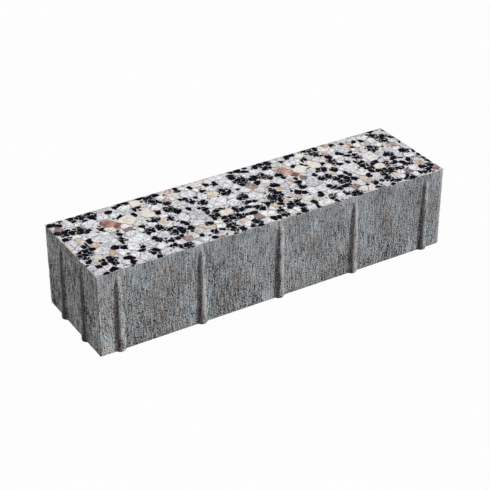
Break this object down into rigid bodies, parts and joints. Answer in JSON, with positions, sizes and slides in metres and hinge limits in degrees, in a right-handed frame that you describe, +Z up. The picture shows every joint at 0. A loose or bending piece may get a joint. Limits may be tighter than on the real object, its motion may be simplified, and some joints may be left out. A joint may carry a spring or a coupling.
{
  "type": "concrete paver",
  "caption": "Long rectangular concrete paving block with a granite-chip wearing face, grey sides and tapered upright spacer nibs around them.",
  "frame": {"origin": "centre of the bedding face, on the surface that the block lies on", "axes": "+Z up through the wearing face, +X along the length, +Y across the width"},
  "size_m": [0.366, 0.106, 0.08],
  "materials": {
    "concrete": "matte"
  },
  "bodies": {
    "root": {"paver": "concrete"}
  },
  "joints": []
}
